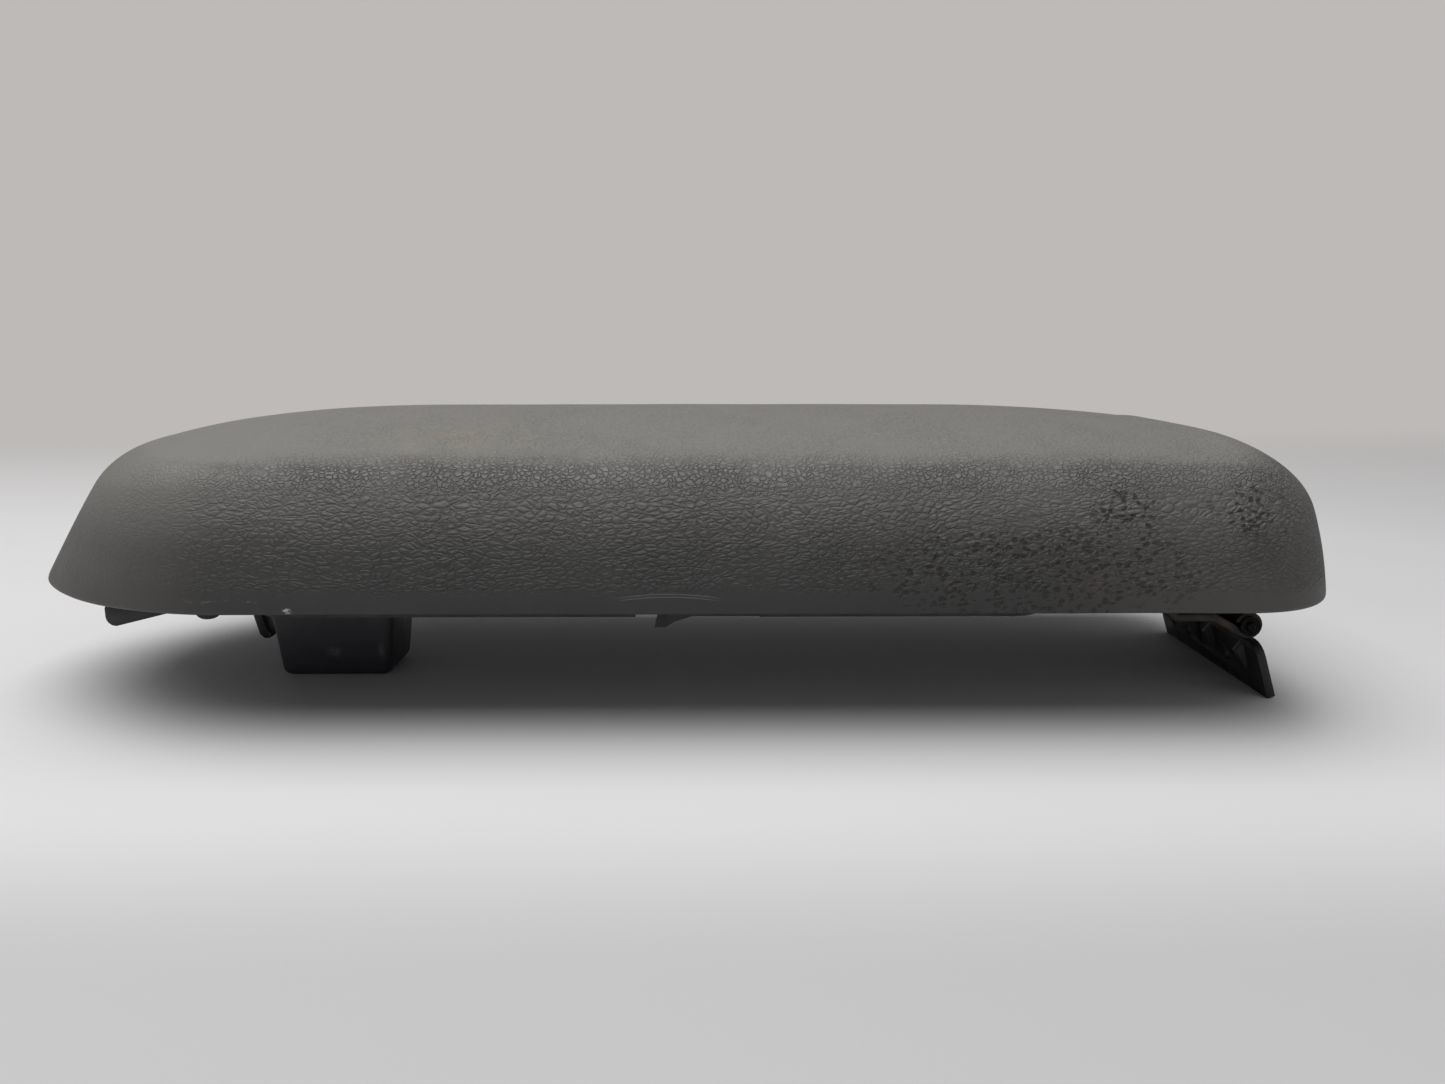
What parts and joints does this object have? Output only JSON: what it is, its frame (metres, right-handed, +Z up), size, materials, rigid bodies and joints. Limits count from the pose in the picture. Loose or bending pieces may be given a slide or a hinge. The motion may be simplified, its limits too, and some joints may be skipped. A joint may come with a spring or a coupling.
{
  "type": "center console armrest lid",
  "caption": "Padded armrest lid of a car's center console, with a grained skin, a sprung latch lever and hook under its nose, and a hinge with its console bracket at its tail.",
  "frame": {"origin": "centre of the bounding box's underside, on the table under the middle of the pad", "axes": "+X along the lid to the hinge at its tail, +Y across it, +Z up"},
  "size_m": [0.3716, 0.14, 0.0825],
  "materials": {
    "grained_skin": "worn grey grained vinyl, matte",
    "moulded_foam": "moulded foam",
    "carrier_plastic": "moulded black plastic",
    "panel_plastic": "fine-grained black plastic",
    "screw_steel": "black-plated steel",
    "bumper_rubber": "matte black rubber",
    "housing_plastic": "dark grey moulded plastic",
    "pin_steel": "bright steel",
    "spring_steel": "drawn spring wire",
    "lever_plastic": "dark grey moulded plastic",
    "hook_plastic": "black moulded plastic",
    "leaf_steel": "dull coated steel strap",
    "bracket_plastic": "black moulded plastic"
  },
  "bodies": {
    "lid": {"cover_skin": "grained_skin", "foam_pad": "moulded_foam", "upper_carrier": "carrier_plastic", "inner_panel": "panel_plastic", "panel_screw_1": "screw_steel", "panel_screw_2": "screw_steel", "panel_screw_3": "screw_steel", "panel_screw_4": "screw_steel", "panel_screw_5": "screw_steel", "panel_screw_6": "screw_steel", "housing_screw_1": "screw_steel", "housing_screw_2": "screw_steel", "housing_screw_3": "screw_steel", "housing_screw_4": "screw_steel", "leaf_screw_1": "screw_steel", "leaf_screw_2": "screw_steel", "leaf_screw_3": "screw_steel", "leaf_screw_4": "screw_steel", "bumper_near": "bumper_rubber", "bumper_far": "bumper_rubber", "latch_housing": "housing_plastic", "latch_pin": "pin_steel", "latch_spring": "spring_steel", "hinge_leaf": "leaf_steel", "hinge_pin": "pin_steel", "pin_clip_near": "pin_steel", "pin_clip_far": "pin_steel"},
    "latch": {"latch_lever": "lever_plastic", "latch_hook": "hook_plastic", "hook_rivet": "pin_steel"},
    "bracket": {"hinge_bracket": "bracket_plastic"}
  },
  "joints": [
    {"name": "lid_hinge", "type": "hinge", "parent": "lid", "child": "bracket", "pos_m": [0.17, 0, 0.021], "axis": [0, 1, 0], "range_deg": [-75, 18]},
    {"name": "latch_pivot", "type": "hinge", "parent": "lid", "child": "latch", "pos_m": [-0.144, 0, 0.0255], "axis": [0, 1, 0], "range_deg": [0, 14], "stiffness_Nm_per_rad": 0.06, "springref_deg": -20.05}
  ]
}
